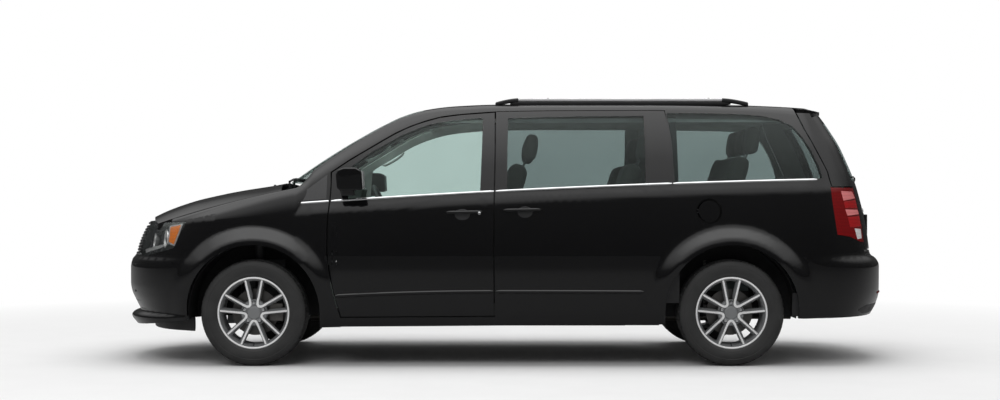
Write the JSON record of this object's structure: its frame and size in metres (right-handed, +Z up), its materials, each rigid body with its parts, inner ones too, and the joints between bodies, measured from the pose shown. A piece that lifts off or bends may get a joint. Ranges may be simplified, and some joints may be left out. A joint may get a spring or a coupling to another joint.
{
  "type": "minivan",
  "caption": "Family minivan with hinged front doors, hood, liftgate and fuel door, steered front wheels, spinning wheels and a cabin with three seat rows.",
  "frame": {"origin": "middle of the ground under the body, at the bottom centre of the bounding box", "axes": "+X forward, +Y to the vehicle's left, +Z up"},
  "size_m": [5.15, 2.2144, 1.747],
  "materials": {
    "paint": "gloss black",
    "clear_glass": "gloss",
    "privacy_glass": "gloss",
    "trim_black": "satin",
    "lamp_clear": "gloss",
    "lamp_red": "gloss",
    "alloy": "machined",
    "tyre_rubber": "matte",
    "iron": "turned",
    "steel_dark": "satin",
    "exhaust_steel": "satin",
    "seat_cloth": "woven",
    "cabin_plastic": "grained",
    "rail_metal": "satin",
    "liner_plastic": "matte",
    "engine_metal": "matte"
  },
  "bodies": {
    "body": {"floor_pan": "steel_dark", "body_side_left": "paint", "body_side_right": "paint", "roof": "paint", "windshield": "clear_glass", "cowl": "trim_black", "fenders": "paint", "arch_liners": "liner_plastic", "front_bumper": "paint", "grille": "trim_black", "headlamps": "lamp_clear", "sliding_door_left": "paint", "sliding_door_right": "paint", "sliding_door_glass": "privacy_glass", "quarter_glass": "privacy_glass", "tail_lamps": "lamp_red", "rear_bumper": "paint", "roof_rails": "rail_metal", "wipers": "trim_black", "dashboard": "cabin_plastic", "front_seats": "seat_cloth", "second_row_seats": "seat_cloth", "third_row_seat": "seat_cloth", "engine": "engine_metal", "fuel_tank": "steel_dark", "exhaust": "exhaust_steel", "front_suspension": "steel_dark", "rear_axle": "steel_dark", "door_hinges": "steel_dark"},
    "front_door_left": {"front_door_left": "paint", "front_door_glass_left": "clear_glass", "mirror_left": "paint"},
    "front_door_right": {"front_door_right": "paint", "front_door_glass_right": "clear_glass", "mirror_right": "paint"},
    "hood": {"hood": "paint"},
    "liftgate": {"liftgate": "paint", "rear_glass": "privacy_glass", "rear_spoiler": "paint"},
    "fuel_door": {"fuel_door": "paint"},
    "steering_wheel": {"steering_wheel": "cabin_plastic"},
    "knuckle_left": {"knuckle_left": "iron"},
    "knuckle_right": {"knuckle_right": "iron"},
    "wheel_front_left": {"tyre_front_left": "tyre_rubber", "rim_front_left": "alloy", "disc_front_left": "iron"},
    "wheel_front_right": {"tyre_front_right": "tyre_rubber", "rim_front_right": "alloy", "disc_front_right": "iron"},
    "wheel_rear_left": {"tyre_rear_left": "tyre_rubber", "rim_rear_left": "alloy", "disc_rear_left": "iron"},
    "wheel_rear_right": {"tyre_rear_right": "tyre_rubber", "rim_rear_right": "alloy", "disc_rear_right": "iron"}
  },
  "joints": [
    {"name": "front_door_left_hinge", "type": "hinge", "parent": "body", "child": "front_door_left", "pos_m": [1.1, 0.978, 0.79], "axis": [0, 0, -1], "range_deg": [0, 65]},
    {"name": "front_door_right_hinge", "type": "hinge", "parent": "body", "child": "front_door_right", "pos_m": [1.1, -0.978, 0.79], "axis": [0, 0, 1], "range_deg": [0, 65]},
    {"name": "hood_hinge", "type": "hinge", "parent": "body", "child": "hood", "pos_m": [1.43, 0, 1.165], "axis": [0, -1, 0], "range_deg": [0, 50]},
    {"name": "liftgate_hinge", "type": "hinge", "parent": "body", "child": "liftgate", "pos_m": [-1.871, 0, 1.697], "axis": [0, 1, 0], "range_deg": [0, 80]},
    {"name": "fuel_door_hinge", "type": "hinge", "parent": "body", "child": "fuel_door", "pos_m": [-1.242, 0.967, 0.999], "axis": [0, 0, -1], "range_deg": [0, 90]},
    {"name": "steer_left", "type": "hinge", "parent": "body", "child": "knuckle_left", "pos_m": [1.614, 0.765, 0.343], "axis": [0, 0, 1], "range_deg": [-35, 35]},
    {"name": "steer_right", "type": "hinge", "parent": "body", "child": "knuckle_right", "pos_m": [1.614, -0.765, 0.343], "axis": [0, 0, 1], "range_deg": [-35, 35]},
    {"name": "steering_wheel_turn", "type": "hinge", "parent": "body", "child": "steering_wheel", "pos_m": [0.8, 0.4, 1.005], "axis": [-0.9135, 0, 0.4067], "range_deg": [-525, 525]},
    {"name": "spin_front_left", "type": "hinge", "parent": "knuckle_left", "child": "wheel_front_left", "pos_m": [1.614, 0.825, 0.343], "axis": [0, 1, 0], "continuous": true},
    {"name": "spin_front_right", "type": "hinge", "parent": "knuckle_right", "child": "wheel_front_right", "pos_m": [1.614, -0.825, 0.343], "axis": [0, 1, 0], "continuous": true},
    {"name": "spin_rear_left", "type": "hinge", "parent": "body", "child": "wheel_rear_left", "pos_m": [-1.464, 0.825, 0.343], "axis": [0, 1, 0], "continuous": true},
    {"name": "spin_rear_right", "type": "hinge", "parent": "body", "child": "wheel_rear_right", "pos_m": [-1.464, -0.825, 0.343], "axis": [0, 1, 0], "continuous": true}
  ],
  "couplings": [
    {"joint": "steer_right", "follows": "steer_left", "ratio": 1},
    {"joint": "steering_wheel_turn", "follows": "steer_left", "ratio": 15}
  ]
}
